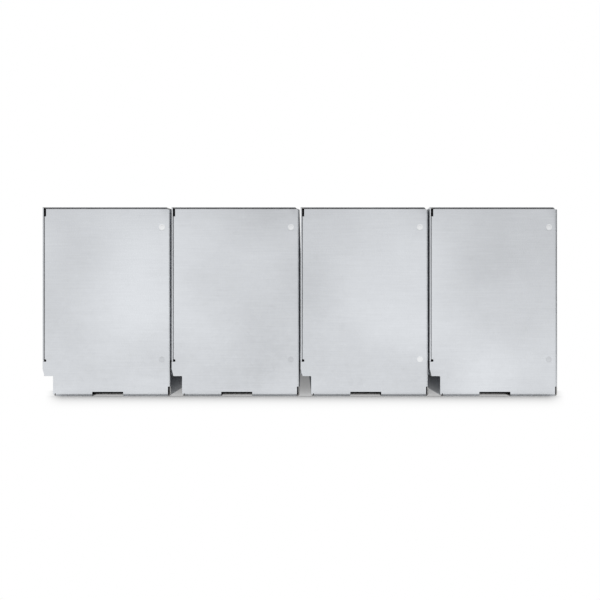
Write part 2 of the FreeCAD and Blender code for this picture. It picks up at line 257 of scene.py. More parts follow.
class BATTERYPACK_PG_finishes(bpy.types.PropertyGroup):
    """Colours of the finishes."""

    # Light and dark zinc: their broad cloudy patches are partly painted sheen of a slightly wavy sheet
    zinc_light: colour("Light zinc", "Light patches of the zinc coating", (0.838, 0.864, 0.900))
    zinc_dark: colour("Dark zinc", "Dark patches of the zinc coating", (0.607, 0.625, 0.651))
    weld_light: colour("Light weld", "Light patches of a bright spot-weld mark", (0.97, 0.98, 0.99))
    weld_dark: colour("Dark weld", "Dark patches of a bright spot-weld mark", (0.82, 0.835, 0.855))
    dull_light: colour("Light dull weld", "Light patches of a dull spot-weld mark", (0.75, 0.77, 0.80))
    dull_dark: colour("Dark dull weld", "Dark patches of a dull spot-weld mark", (0.55, 0.565, 0.59))
    cut_light: colour("Light cut edge", "Sheared steel at the cut edges", (0.52, 0.515, 0.51))
    cut_dark: colour("Dark cut edge", "Torn band of the cut edges", (0.32, 0.315, 0.31))
    # Painted shade: the nearly black colour inside the case, with mottled patches, stands in for the shade
    # seen through its slits and gaps
    paint: colour("Inside paint", "Acid-proof paint inside the case", (0.010, 0.010, 0.011))
    shade_paint_mottle: colour("Worn inside paint", "Rubbed patches of that paint", (0.018, 0.018, 0.019))
    screw: colour("Screw", "Zinc-plated screws", (0.66, 0.67, 0.69))
    screw_dark: colour("Screw shade", "Dull patches of the screws", (0.50, 0.51, 0.53))
    housing: colour("Housing", "Moulded housing of the connector", (0.022, 0.022, 0.024))
    housing_worn: colour("Worn housing", "Rubbed patches of the housing", (0.045, 0.045, 0.047))
    contact: colour("Contact", "Plated contacts", (0.74, 0.70, 0.60))
    contact_dark: colour("Contact shade", "Tarnish of the contacts", (0.52, 0.45, 0.33))
    block: colour("Block", "Moulded plastic of the battery blocks", (0.035, 0.036, 0.040))
    block_worn: colour("Block shade", "Dull patches of the battery blocks", (0.060, 0.061, 0.066))
    tin: colour("Tinned tab", "Tinned terminals of the battery blocks", (0.60, 0.59, 0.56))
    tin_dark: colour("Tin shade", "Dull patches of the terminals", (0.48, 0.472, 0.448))
    copper: colour("Copper", "Copper links and lugs", (0.62, 0.33, 0.20))
    copper_dark: colour("Copper shade", "Tarnish of the copper", (0.34, 0.15, 0.09))
    board: colour("Insulation", "Insulating sheet", (0.78, 0.79, 0.77))
    board_dark: colour("Insulation shade", "Cloudy patches of the insulating sheet", (0.66, 0.67, 0.65))
    floor: colour("Floor", "Floor under the pack", (0.80, 0.80, 0.80))


class BATTERYPACK_PG_stage(bpy.types.PropertyGroup):
    """Camera, light and floor."""

    distance: length("Camera distance", "Distance of the camera from the front ends", 800.0)
    camera_height: length("Camera height", "Height of the camera over the floor", 70.0)
    camera_side: length("Camera side", "Distance of the camera to the right of the pack's middle", 1.6)
    view_width: length("View width", "Width of the view at the front ends", 504.4)
    view_side: length("View side", "Distance of the view's middle to the right of the pack's middle", -0.1)
    view_middle: length("View middle", "Height of the view's middle at the front ends", 80.82)
    shade_reach: length("Shade reach", "Distance at which the floor before the pack turns white", 150.0)
    shade_half: length("Shade half", "Half of the width over which the floor keeps its full shade", 202.7)
    shade_middle: length("Shade middle", "Middle of that width, to the right of the pack's middle", 4.2)
    shade_side: length("Shade side", "Distance over which the floor turns white at both sides", 16.8)
    shade_gain: amount("Shade narrowing", "Narrowing of the shade's sides, per length before the pack", 0.26)
    glow: amount("Glow", "Brightness of the floor under the front edge", 0.40)
    glow_start: length("Glow start", "Depth under the pack at which the glow begins", 2.8)
    glow_depth: length("Glow depth", "Depth under the pack at which the glow has halved", 90.0)
    overhead: amount("Overhead", "Power of the overhead softbox", 7.0, "POWER")
    front: amount("Front", "Power of the softbox at the front", 12.0, "POWER")
    horizon: amount("Horizon", "Brightness of the room at eye level", 1.0)
    ceiling: amount("Ceiling", "Brightness of the ceiling's front", 0.03)
    ceiling_back: amount("Ceiling back", "Brightness of the ceiling's back", 0.50)
    left: amount("Left side", "Brightness of the room's left side", 0.40)
    right: amount("Right side", "Brightness of the room's right side", 0.15)


def axis_vector(axis, value=1.0):
    """Vector along one axis."""
    vector = Vector((0.0, 0.0, 0.0))
    vector[axis] = value
    return vector


def across(axis):
    """The two axes that lie across a third."""
    return [a for a in (X, Y, Z) if a != axis]


def panel_point(axis, at, place):
    """Point of the panel in one plane, at a place there."""
    first, second = across(axis)
    return axis_vector(axis, at) + axis_vector(first, place[0]) + axis_vector(second, place[1])


def square(centre, half):
    """Lower and upper corner of a square in a panel."""
    return [c - half for c in centre], [c + half for c in centre]


def turn_to(way):
    """Matrix that turns +Z to a direction."""
    return axis_vector(Z).rotation_difference(way).to_matrix().to_4x4()


def of_kind(geometry, kind):
    """Vertices, edges or faces among the geometry that an operator made."""
    return [g for g in geometry if isinstance(g, kind)]


def in_order(parts):
    """Each part once, in the order of the first time that it comes."""
    return list(dict.fromkeys(parts))


def drawn_out(bm, outline, depth):
    """Prism along +Y from corners of (x, z) at the front."""
    end = bm.faces.new([bm.verts.new((x, 0.0, z)) for x, z in outline])
    grown = bmesh.ops.extrude_face_region(bm, geom=[end])["geom"]
    bmesh.ops.translate(bm, verts=of_kind(grown, BMVert), vec=(0.0, depth, 0.0))
    bmesh.ops.recalc_face_normals(bm, faces=bm.faces)


def pushed(bm, faces):
    """Extrudes faces of a body in place of the old ones and returns their corners, to be moved."""
    grown = bmesh.ops.extrude_face_region(bm, geom=faces)["geom"]
    bmesh.ops.delete(bm, geom=faces, context="FACES")
    return of_kind(grown, BMVert)


def in_plane(part, axis, at):
    """Whether all corners of an edge or a face lie in one plane."""
    return all(abs(v.co[axis] - at) < NEAR for v in part.verts)


def faces_in_plane(bm, axis, at):
    """Faces of a sheet that lie in one plane."""
    return [f for f in bm.faces if in_plane(f, axis, at)]


def faces_between(bm, axis, at, low, high):
    """Faces of a panel whose middles lie between two corners."""
    found = []
    for face in faces_in_plane(bm, axis, at):
        middle = face.calc_center_median()
        if all(lo < middle[a] < hi for a, lo, hi in zip(across(axis), low, high)):
            found.append(face)
    return found


def outline_of(faces):
    """Corners and edges of faces."""
    return in_order(v for f in faces for v in f.verts), in_order(e for f in faces for e in f.edges)


def score(bm, faces, point, way):
    """Scores faces along a plane without parting them."""
    verts, edges = outline_of(faces)
    bmesh.ops.bisect_plane(bm, geom=verts + edges + faces, dist=NEAR, plane_co=point, plane_no=way)


def score_border(bm, axis, at, low, high):
    """Scores the panel in one plane along the borders of a rectangle."""
    for line_axis, *places in zip(across(axis), low, high):
        for place in places:
            score(bm, faces_in_plane(bm, axis, at), axis_vector(line_axis, place), axis_vector(line_axis))


def smooth_out(bm, axis, at):
    """Takes the score lines out of a panel again."""
    verts, edges = outline_of(faces_in_plane(bm, axis, at))
    bmesh.ops.dissolve_limit(
        bm, angle_limit=FLAT_ANGLE, use_dissolve_boundaries=False, verts=verts, edges=edges, delimit=set()
    )


def window(bm, axis, at, low, high):
    """Cuts a rectangle out of a panel and leaves the score lines."""
    score_border(bm, axis, at, low, high)
    inside = faces_between(bm, axis, at, low, high)
    if not inside:
        raise RuntimeError(f"no sheet to cut at {low} to {high} across axis {axis}")
    bmesh.ops.delete(bm, geom=inside, context="FACES")


def notch(bm, axis, at, low, high):
    """Cuts a rectangle out of the border of a panel."""
    window(bm, axis, at, low, high)
    smooth_out(bm, axis, at)


def corners_at(bm, axis, at, places):
    """Corners of a panel at the given places in its plane."""
    points = [panel_point(axis, at, place) for place in places]
    verts, _ = outline_of(faces_in_plane(bm, axis, at))
    return [v for v in verts if any((v.co - point).length < NEAR for point in points)]


def rolled(bm, geometry, affect, radius, steps):
    """Rounds corners or edges of a sheet."""
    bmesh.ops.bevel(
        bm,
        geom=geometry,
        affect=affect,
        offset=radius,
        offset_type="OFFSET",
        segments=steps,
        profile=0.5,
        clamp_overlap=False,
        material=-1,
    )


def mark_out(bm, axis, at, centres, half):
    """Scores a square cell round each hole of a panel, before any is cut."""
    for centre in centres:
        score_border(bm, axis, at, *square(centre, half))


def round_hole(bm, axis, at, centre, radius, half):
    """Cuts a round hole in its marked-out cell and returns its rim."""
    cell = faces_between(bm, axis, at, *square(centre, half))
    border = [e for f in cell for e in f.edges if sum(link in cell for link in e.link_faces) == 1]
    if len(border) < 4:
        raise RuntimeError(f"no cell is marked out for the hole at {centre}")
    out = cell[0].normal.copy()
    bmesh.ops.delete(bm, geom=cell, context="FACES")
    matrix = Matrix.Translation(panel_point(axis, at, centre)) @ turn_to(axis_vector(axis))
    ring = bmesh.ops.create_circle(bm, segments=4 * ARC_STEPS, radius=radius, matrix=matrix)["verts"]
    rim = in_order(e for v in ring for e in v.link_edges)
    bmesh.ops.triangle_fill(bm, use_beauty=True, edges=border + rim, normal=out)
    return rim


def weld_dent(bm, axis, at, centre, s, inward, finish):
    """Presses a spot-weld mark into a panel: a ring groove round a shallow disc."""
    radius = s.weld_mark / 2
    rim = round_hole(bm, axis, at, centre, radius, s.weld_mark * WELD_CELL)
    middle = panel_point(axis, at, centre)
    made = []
    for share, drop in WELD_RINGS:
        grown = bmesh.ops.extrude_edge_only(bm, edges=rim)["geom"]
        rim = of_kind(grown, BMEdge)
        made += of_kind(grown, BMFace)
        for vert in of_kind(grown, BMVert):
            away = vert.co - middle
            away[axis] = 0.0
            sunk = axis_vector(axis, inward * s.weld_depth * drop)
            vert.co = middle + away.normalized() * radius * share + sunk
    made += bmesh.ops.edgeloop_fill(bm, edges=rim)["faces"]
    for face in made:
        face.material_index = finish


def sharp_edges(bm, hollow):
    """Edges where two panels meet, on the outside or in the hollow of a fold."""
    found = []
    for edge in bm.edges:
        if len(edge.link_faces) == 2:
            angle = edge.calc_face_angle_signed()
            if abs(angle) > FOLD_ANGLE and (angle < 0) == hollow:
                found.append(edge)
    return found


def fold(bm, edges, radius):
    """Rolls sharp edges to a fold of the given radius."""
    rolled(bm, edges, "EDGES", radius, FOLD_STEPS)
    bmesh.ops.remove_doubles(bm, verts=bm.verts, dist=MERGED)


def carry_on(bm, low, high, vec):
    """Lengthens a sheet from its free edges between two corners."""
    edges = []
    for edge in bm.edges:
        if len(edge.link_faces) == 1:
            if all(lo - NEAR < c < hi + NEAR for v in edge.verts for lo, c, hi in zip(low, v.co, high)):
                edges.append(edge)
    if not edges:
        raise RuntimeError(f"no free edge between {low} and {high}")
    grown = bmesh.ops.extrude_edge_only(bm, edges=edges)["geom"]
    bmesh.ops.translate(bm, verts=of_kind(grown, BMVert), vec=vec)


def set_down(bm, number):
    """Moves a body from the origin to the lower front left corner of its case."""
    bmesh.ops.translate(bm, verts=bm.verts, vec=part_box(f"case_tray_{number}")[0])
    return bm


def add_piece(name, bm, materials, replaced):
    """Makes an object of a finished mesh, which stands for a CAD node."""
    mesh = bpy.data.meshes.new(name)
    bm.to_mesh(mesh)
    bm.free()
    mesh.shade_smooth()
    piece = bpy.data.objects.new(name, mesh)
    bpy.context.scene.collection.objects.link(piece)
    for material in materials:
        mesh.materials.append(material)
    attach(piece, "root")
    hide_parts(replaced)
    return piece


def give_thickness(piece, sheet, rim_finish, inside_shade_index):
    """Gives a skin the thickness of its sheet, inward; its inner side takes the nearly black painted shade.
    """
    wall = piece.modifiers.new("Sheet", "SOLIDIFY")
    wall.thickness = sheet
    wall.offset = -1.0
    wall.use_even_offset = True
    wall.use_rim = True
    wall.material_offset_rim = rim_finish
    wall.material_offset = inside_shade_index


def break_edges(piece, radius):
    """Rounds the sharp edges of a piece a little and evens its shading."""
    edge = piece.modifiers.new("Edges", "BEVEL")
    edge.width = radius
    edge.segments = EDGE_STEPS
    edge.profile = 0.5
    edge.limit_method = "ANGLE"
    edge.angle_limit = EDGE_ANGLE
    edge.use_clamp_overlap = False
    edge.material = -1
    even = piece.modifiers.new("Shading", "WEIGHTED_NORMAL")
    even.keep_sharp = True
    even.weight = SHADING_WEIGHT


def end_strips(s, reach):
    """Strips of (near, far) at both ends that reach a length into the case."""
    return (-BEYOND, reach), (s.depth - reach, BEYOND)


def cover_screws(s):
    """Places of (y, z) of the screws that hold the side cover."""
    places = []
    for z in (s.step_height + s.screw_inset, s.height - s.screw_inset):
        for share in SCREW_SHARES:
            places.append((s.screw_margin + (s.depth - 2 * s.screw_margin) * share, z))
    return places


def connector_screws(s):
    """Places of (x, z) of the screws that hold the connector."""
    x = s.connector_left + s.connector_width / 2
    return [(x, s.connector_middle + way * s.flange_screw) for way in (-1, 1)]


def cut_left_side(bm, s):
    """Cuts the left side of the tray down to the four flanges that the cover lies on."""
    left = s.cover_sheet
    over_tab = s.step_height + s.tab_rise + s.relief_hole / 2
    ledge = s.step_height + s.long_flange
    window(bm, X, left, (s.end_flange, ledge), (s.depth - s.end_flange, s.height - s.long_flange))
    for near, far in end_strips(s, s.flange_corner):
        notch(bm, X, left, (near, s.height - s.slit_length), (far, BEYOND))
    for reach, low in ((s.low_corner, -BEYOND), (s.end_flange, ledge)):
        for near, far in end_strips(s, reach):
            notch(bm, X, left, (near, low), (far, over_tab))
    for z, corner in ((s.height, s.flange_corner), (s.step_height, s.low_corner)):
        for start in (corner - s.seam_fold, s.depth - corner):
            notch(bm, Z, z, (-BEYOND, start), (left + s.seam_fold, start + s.seam_fold))


def cut_end(bm, s, at, inner):
    """Cuts the reliefs of one end of the tray; its folds stop at the inner plane."""
    near, far = min(at, inner) - NEAR, max(at, inner) + NEAR
    deep = s.corner_depth - s.fold
    first, last = (near, far + deep) if at < inner else (near - deep, far)
    right = s.width - s.corner_relief
    top = s.height - s.corner_relief
    tab_top = s.step_height + s.tab_rise
    hole = s.relief_hole / 2
    foot = s.step_width + s.foot_width
    # Slit at the top left
    notch(bm, Y, at, (-BEYOND, s.height - s.slit_length), (s.slit_depth, BEYOND))
    notch(bm, Z, s.height, (-BEYOND, near), (s.slit_depth, far))
    # Corner at the top right
    notch(bm, Y, at, (right, top), (BEYOND, BEYOND))
    notch(bm, Z, s.height, (right, first), (BEYOND, last))
    notch(bm, X, s.width, (first, top), (last, BEYOND))
    # Slit at the bottom right
    slit = s.width - s.low_slit_depth
    notch(bm, Y, at, (slit, -BEYOND), (BEYOND, s.low_slit))
    notch(bm, X, s.width, (near, -BEYOND), (far, s.low_slit))
    notch(bm, Z, 0.0, (slit, near), (BEYOND, far))
    # Foot at the bottom left
    notch(bm, Y, at, (-BEYOND, -BEYOND), (foot, s.fold))
    notch(bm, Z, 0.0, (-BEYOND, near), (foot, far))
    notch(bm, Y, at, (foot - s.foot_gap, -BEYOND), (foot, s.fold + s.foot_relief))
    # Relief over the tab
    notch(bm, Y, at, (-BEYOND, tab_top - hole), (s.cover_sheet + s.seam_fold, tab_top + hole))


def finish_end(bm, s, at):
    """Slants the top fold's end, adds the tab and the foot, and rounds the relief between tab and flange."""
    left = s.cover_sheet
    for vert in bm.verts:
        rise = (vert.co.z - s.height + s.fold) / s.fold
        at_corner = abs(vert.co.x - s.width + s.corner_relief) < NEAR
        if at_corner and abs(vert.co.y - at) < s.fold + NEAR and rise > 0:
            vert.co.x -= s.corner_slant * rise
    low = s.step_height + s.tab_rise - s.relief_hole / 2
    high = low + s.relief_hole
    carry_on(bm, (left, at, s.step_height), (left, at, low), (-left, 0.0, 0.0))
    foot = s.step_width + s.foot_width - s.foot_gap
    carry_on(bm, (s.step_width, at, s.fold), (foot, at, s.fold), (0.0, 0.0, s.foot_drop - s.fold))
    slant = Vector((s.tab_slant_up, 0.0, s.tab_slant_across))
    corner = Vector((s.tab_slant_across, at, s.step_height))
    score(bm, faces_in_plane(bm, Y, at), corner, slant)
    below = []
    for face in faces_in_plane(bm, Y, at):
        middle = face.calc_center_median()
        on_tab = middle.x < s.tab_slant_across and middle.z > s.step_height
        if on_tab and (middle - corner).dot(slant) < 0:
            below.append(face)
    if not below:
        raise RuntimeError("the tab has no corner to slant")
    bmesh.ops.delete(bm, geom=below, context="FACES")
    start = left + s.seam_fold
    notch(bm, Y, at, (start, low), (s.relief_reach, high))
    corners = corners_at(bm, Y, at, [(s.relief_reach, high), (s.relief_reach, low)])
    rolled(bm, corners, "VERTICES", (s.relief_reach - start) * RELIEF_ROUND, RELIEF_STEPS)


def tray_skin(s, low_weld):
    """Outer skin of the tray, folded from one sheet, with its cuts, holes and spot-weld marks."""
    bm = bmesh.new()
    left = s.cover_sheet
    outline = [
        (left, s.step_height),
        (s.step_width, s.step_height),
        (s.step_width, 0.0),
        (s.width, 0.0),
        (s.width, s.height),
        (left, s.height),
    ]
    drawn_out(bm, outline, s.depth)
    cut_left_side(bm, s)
    # The ledge and the step butt against the backs of the end panels
    for near, far in end_strips(s, s.sheet):
        notch(bm, Z, s.step_height, (-BEYOND, near), (BEYOND, far))
        notch(bm, X, s.step_width, (near, -BEYOND), (far, BEYOND))
    for near, far in end_strips(s, s.fold):
        notch(bm, X, s.step_width, (near, -BEYOND), (far, s.fold))
    cut_end(bm, s, 0.0, s.fold)
    cut_end(bm, s, s.depth, s.depth - s.fold)
    # Slot in the bottom edge of the front
    slot_right = s.slot_left + s.slot_width
    notch(bm, Y, 0.0, (s.slot_left, -BEYOND), (slot_right, s.slot_height))
    notch(bm, Z, 0.0, (s.slot_left, -BEYOND), (slot_right, s.slot_depth))
    # Folds
    fold(bm, [e for e in sharp_edges(bm, False) if not in_plane(e, X, left)], s.fold)
    fold(bm, [e for e in sharp_edges(bm, False) if in_plane(e, X, left)], s.seam_fold)
    fold(bm, sharp_edges(bm, True), s.fold - s.sheet)
    finish_end(bm, s, 0.0)
    finish_end(bm, s, s.depth)
    # Window of the rear, spot-weld marks and screw holes
    side = s.connector_width / 2 + s.connector_fit
    rise = s.connector_height / 2 + s.connector_fit
    x = s.connector_left + s.connector_width / 2
    window(bm, Y, s.depth, (x - side, s.connector_middle - rise), (x + side, s.connector_middle + rise))
    x = s.width - s.weld_inset
    welds = {(x, s.weld_low): low_weld, (x, s.weld_high): BRIGHT_WELD}
    head = s.screw_head / 2 + s.screw_fit
    shank = s.screw_shank / 2 + s.screw_fit
    for end in (0.0, s.depth):
        mark_out(bm, Y, end, welds, s.weld_mark * WELD_CELL)
    mark_out(bm, Y, s.depth, connector_screws(s), head * HOLE_CELL)
    mark_out(bm, X, left, cover_screws(s), shank * HOLE_CELL)
    for centre, finish in welds.items():
        weld_dent(bm, Y, 0.0, centre, s, 1.0, finish)
        weld_dent(bm, Y, s.depth, centre, s, -1.0, finish)
    for centre in connector_screws(s):
        round_hole(bm, Y, s.depth, centre, head, head * HOLE_CELL)
    for centre in cover_screws(s):
        round_hole(bm, X, left, centre, shank, shank * HOLE_CELL)
    bmesh.ops.delete(bm, geom=[v for v in bm.verts if not v.link_faces], context="VERTS")
    bmesh.ops.recalc_face_normals(bm, faces=bm.faces)
    return bm


def cover_skin(s):
    """Outer skin of the flat side cover, cut out round the tabs of the two ends, with its screw holes."""
    bm = bmesh.new()
    front, rear = s.cover_inset, s.depth - s.cover_inset
    low, high = s.step_height + s.cover_inset, s.height - s.cover_inset
    corners = [(front, high), (rear, high), (rear, low), (front, low)]
    bm.faces.new([bm.verts.new((0.0, y, z)) for y, z in corners])
    behind_tab = s.sheet + s.cover_inset
    for reach, rise in ((behind_tab, s.tab_rise), (s.cover_corner, s.tab_slant_up)):
        for near, far in end_strips(s, reach):
            notch(bm, X, 0.0, (near, -BEYOND), (far, low + rise))
    head = s.screw_head / 2 + s.screw_fit
    mark_out(bm, X, 0.0, cover_screws(s), head * HOLE_CELL)
    for centre in cover_screws(s):
        round_hole(bm, X, 0.0, centre, head, head * HOLE_CELL)
    return bm


def screw_body(s):
    """Flush screw with a cross recess, its head at the origin and facing up."""
    bm = bmesh.new()
    head = s.screw_head / 2
    bmesh.ops.create_circle(bm, cap_ends=True, segments=4 * ARC_STEPS, radius=head)
    top = bm.faces[:][0]
    rim = bm.edges[:]
    tip = s.screw_length * SCREW_TIP
    shank = s.screw_shank / s.screw_head
    for share, drop in ((shank, s.sheet), (1.0, s.screw_length - s.sheet - tip), (SCREW_END, tip)):
        grown = bmesh.ops.extrude_edge_only(bm, edges=rim)["geom"]
        rim = of_kind(grown, BMEdge)
        bmesh.ops.scale(bm, verts=of_kind(grown, BMVert), vec=(share, share, 1.0))
        bmesh.ops.translate(bm, verts=of_kind(grown, BMVert), vec=(0.0, 0.0, -drop))
    bmesh.ops.edgeloop_fill(bm, edges=rim)
    bmesh.ops.inset_individual(bm, faces=[top], thickness=head * HEAD_RIM)
    arm, slot, field = head * CROSS_ARM, head * CROSS_SLOT, head * CROSS_FIELD
    for line_axis in (X, Y):
        for place in (-arm, -slot, slot, arm):
            inner = faces_between(bm, Z, 0.0, (-field, -field), (field, field))
            inner = [f for f in inner if all(v.co.length < field for v in f.verts)]
            score(bm, inner, axis_vector(line_axis, place), axis_vector(line_axis))
    cross = faces_between(bm, Z, 0.0, (-arm, -slot), (arm, slot))
    cross += faces_between(bm, Z, 0.0, (-slot, -arm), (slot, arm))
    recess = pushed(bm, in_order(cross))
    bmesh.ops.scale(bm, verts=recess, vec=(CROSS_TAPER, CROSS_TAPER, 1.0))
    bmesh.ops.translate(bm, verts=recess, vec=(0.0, 0.0, -head * CROSS_DEPTH))
    smooth_out(bm, Z, 0.0)
    bmesh.ops.recalc_face_normals(bm, faces=bm.faces)
    mesh = bpy.data.meshes.new("screw")
    bm.to_mesh(mesh)
    bm.free()
    return mesh


def screw_set(s):
    """The flush screws of one module."""
    single = screw_body(s)
    bm = bmesh.new()
    places = [(Vector((0.0, y, z)), axis_vector(X, -1.0)) for y, z in cover_screws(s)]
    places += [(Vector((x, s.depth, z)), axis_vector(Y)) for x, z in connector_screws(s)]
    for place, out in places:
        before = len(bm.verts)
        bm.from_mesh(single)
        bmesh.ops.transform(bm, matrix=Matrix.Translation(place) @ turn_to(out), verts=bm.verts[before:])
    bpy.data.meshes.remove(single)
    return bm


def boxed(bm, low, high):
    """Box between two corners; returns its faces."""
    matrix = Matrix.Translation((low + high) / 2) @ Matrix.Diagonal((*(high - low), 1.0))
    verts = bmesh.ops.create_cube(bm, size=1.0, matrix=matrix)["verts"]
    return in_order(f for v in verts for f in v.link_faces)


def connector_body(s):
    """Housing of the rear connector with its well and its flange, and two contact blades."""
    bm = bmesh.new()
    middle = s.connector_left + s.connector_width / 2
    half = Vector((s.connector_width / 2, 0.0, s.connector_height / 2))
    centre = Vector((middle, s.depth, s.connector_middle))
    boxed(bm, centre - half - axis_vector(Y, s.connector_depth), centre + half)
    back = s.depth - s.sheet
    for y in (back - s.flange_sheet, back):
        score(bm, bm.faces[:], axis_vector(Y, y), axis_vector(Y))
    ring = [f for f in bm.faces if back - s.flange_sheet < f.calc_center_median().y < back]
    wide = (s.flange_width / s.connector_width, 1.0, s.flange_height / s.connector_height)
    bmesh.ops.scale(bm, verts=pushed(bm, ring), vec=wide, space=Matrix.Translation(-centre))
    mouth = faces_in_plane(bm, Y, s.depth)
    bmesh.ops.inset_individual(bm, faces=mouth, thickness=s.connector_wall)
    bmesh.ops.translate(bm, verts=pushed(bm, mouth), vec=(0.0, -s.connector_well, 0.0))
    floor = s.depth - s.connector_well
    for way in (-1, 1):
        z = s.connector_middle + way * s.pole_pitch / 2
        low = Vector((middle - s.contact_sheet / 2, floor - s.contact_sheet, z - s.contact_width / 2))
        high = Vector((middle + s.contact_sheet / 2, floor + s.contact_length, z + s.contact_width / 2))
        for face in boxed(bm, low, high):
            face.material_index = CONTACT
    bmesh.ops.recalc_face_normals(bm, faces=bm.faces)
    return bm


def fill(node, inputs):
    """Fills the inputs of a node: values are linked, and numbers and colours are set."""
    for key, value in inputs.items():
        if isinstance(value, Value):
            node.id_data.links.new(value.socket, node.inputs[key])
        else:
            node.inputs[key].default_value = value


def new_value(tree, kind, inputs, output=0, **settings):
    """Output of a new node with its inputs and settings."""
    node = tree.nodes.new(kind)
    for key, setting in settings.items():
        setattr(node, key, setting)
    fill(node, inputs)
    return Value(node.outputs[output])


def reckoning(kind, turned=False):
    """Method that adds a math node of a kind; a turned one has the value itself as its second input."""

    def reckon(self, other=0.0):
        first, second = (other, self) if turned else (self, other)
        return new_value(self.tree, "ShaderNodeMath", {0: first, 1: second}, operation=kind)

    return reckon


class Value:
    """Output of a shader node; reckoning with it adds math nodes to its tree."""

    def __init__(self, socket):
        self.socket = socket
        self.tree = socket.id_data

    __add__ = reckoning("ADD")
    __sub__ = reckoning("SUBTRACT")
    __rsub__ = reckoning("SUBTRACT", turned=True)
    __mul__ = reckoning("MULTIPLY")
    __truediv__ = reckoning("DIVIDE")
    __rtruediv__ = reckoning("DIVIDE", turned=True)
    __mod__ = reckoning("MODULO")
    __pow__ = reckoning("POWER")
    __lt__ = reckoning("LESS_THAN")
    __gt__ = reckoning("GREATER_THAN")
    __abs__ = reckoning("ABSOLUTE")
    __floor__ = reckoning("FLOOR")
    at_least = reckoning("MAXIMUM")


def new_material(name):
    """New material and its surface shader."""
    material = bpy.data.materials.new(name)
    material.use_nodes = True
    return material, material.node_tree.nodes["Principled BSDF"]


def coordinates(tree, kind="Object"):
    """Coordinates of the object, or of a direction in the room."""
    return new_value(tree, "ShaderNodeTexCoord", {}, kind)


def parts_of(vector):
    """The parts of a vector along the three axes."""
    split = new_value(vector.tree, "ShaderNodeSeparateXYZ", {0: vector})
    return [Value(output) for output in split.socket.node.outputs]


def sheet_coordinates(tree, start):
    """The object's coordinates, moved along by module past a depth, so that each sheet has its own clouds."""
    place = coordinates(tree)
    x, y, _ = parts_of(place)
    gap = PITCH - CASE.x
    number = math.floor((x - (CASE_LOW.x - gap / 2)) / PITCH)
    along = number * (y > CASE_LOW.y + start) * SHEET_SHIFT
    shift = new_value(tree, "ShaderNodeCombineXYZ", {Y: along})
    return new_value(tree, "ShaderNodeVectorMath", {0: place, 1: shift}, operation="ADD")


def noise(place, scale, detail=3.0, roughness=0.55, mapping=None):
    """Noise at a place, which is mapped first if need be."""
    if mapping:
        place = new_value(place.tree, "ShaderNodeMapping", {"Vector": place, **mapping})
    inputs = {"Vector": place, "Scale": scale, "Detail": detail, "Roughness": roughness}
    return new_value(place.tree, "ShaderNodeTexNoise", inputs, "Fac")


def grains(place, scale):
    """Value that differs from one crystal of a coating to the next."""
    inputs = {"Vector": place, "Scale": scale, "Randomness": 1.0}
    crystals = new_value(place.tree, "ShaderNodeTexVoronoi", inputs, "Color")
    return new_value(place.tree, "ShaderNodeSeparateColor", {"Color": crystals}, "Red")


def ranged(value, low, high, start=0.3, end=0.7, **settings):
    """Value moved from one range, between start and end, to another."""
    inputs = {"Value": value, "From Min": start, "From Max": end, "To Min": low, "To Max": high}
    return new_value(value.tree, "ShaderNodeMapRange", inputs, "Result", **settings)


def blended(first, second, share):
    """Value between two values."""
    return first * (1.0 - share) + second * share


def mixed(share, first, second):
    """Colour between two colours."""
    first, second = [c if isinstance(c, Value) else (*c, 1.0) for c in (first, second)]
    return new_value(share.tree, "ShaderNodeMix", {0: share, 6: first, 7: second}, 2, data_type="RGBA")


def bumped(height, distance, strength):
    """Fine relief of a surface."""
    inputs = {"Height": height, "Distance": distance, "Strength": strength}
    return new_value(height.tree, "ShaderNodeBump", inputs, "Normal")


def ray(tree, kind):
    """Whether a ray of light is of a kind."""
    return new_value(tree, "ShaderNodeLightPath", {}, f"Is {kind} Ray")


def zinc_sheet(name, dark, light, rough, start=-1.0):
    """Hot-dip zinc coating: cloudy patches, partly the zinc's own tone and partly painted sheen of a slightly
    wavy sheet, small crystals, rolling lines and fine scuffs.
    """
    material, shader = new_material(name)
    place = sheet_coordinates(material.node_tree, start)
    # Broad cloudy patches: partly the zinc's own tone, partly painted sheen standing in for the uneven
    # reflection of a slightly wavy sheet
    clouds_and_sheen = noise(place, scale=9.0, detail=1.0, mapping={"Location": (1.56, 17.58, 8.79)})
    patches = noise(place, scale=24.0, detail=2.0)
    mottle = noise(place, scale=150.0, detail=4.0, roughness=0.6)
    crystal = grains(place, scale=260.0)
    rolling = noise(place, scale=60.0, roughness=0.6, mapping={"Scale": (0.6, 0.6, 22.0)})
    fine = noise(place, scale=1400.0, detail=2.0)
    tone = clouds_and_sheen * CLOUDS_AND_SHEEN + patches * PATCHES + mottle * MOTTLE + rolling * ROLLING + crystal * CRYSTALS
    patchy = blended(mottle, crystal, share=0.4)
    relief = blended(fine, rolling, share=0.8)
    fill(shader, {
        "Base Color": mixed(ranged(tone, 0.0, 1.0, *ZINC_TONES), dark, light),
        "Roughness": ranged(patchy, rough - 0.03, rough + 0.035),
        "Metallic": 1.0,
        "Normal": bumped(relief, distance=0.0001, strength=0.09),
    })
    return material


def plated(name, dark, light, rough, scale):
    """Plated or bare metal with dull patches."""
    material, shader = new_material(name)
    place = coordinates(material.node_tree)
    patches = noise(place, scale, detail=4.0, roughness=0.6)
    grain = noise(place, scale * GRAIN_FINENESS, detail=2.0)
    fill(shader, {
        "Base Color": mixed(ranged(patches, 0.0, 1.0), dark, light),
        "Roughness": ranged(patches, rough + 0.08, rough - 0.05),
        "Metallic": 1.0,
        "Normal": bumped(grain, distance=0.00005, strength=0.2),
    })
    return material


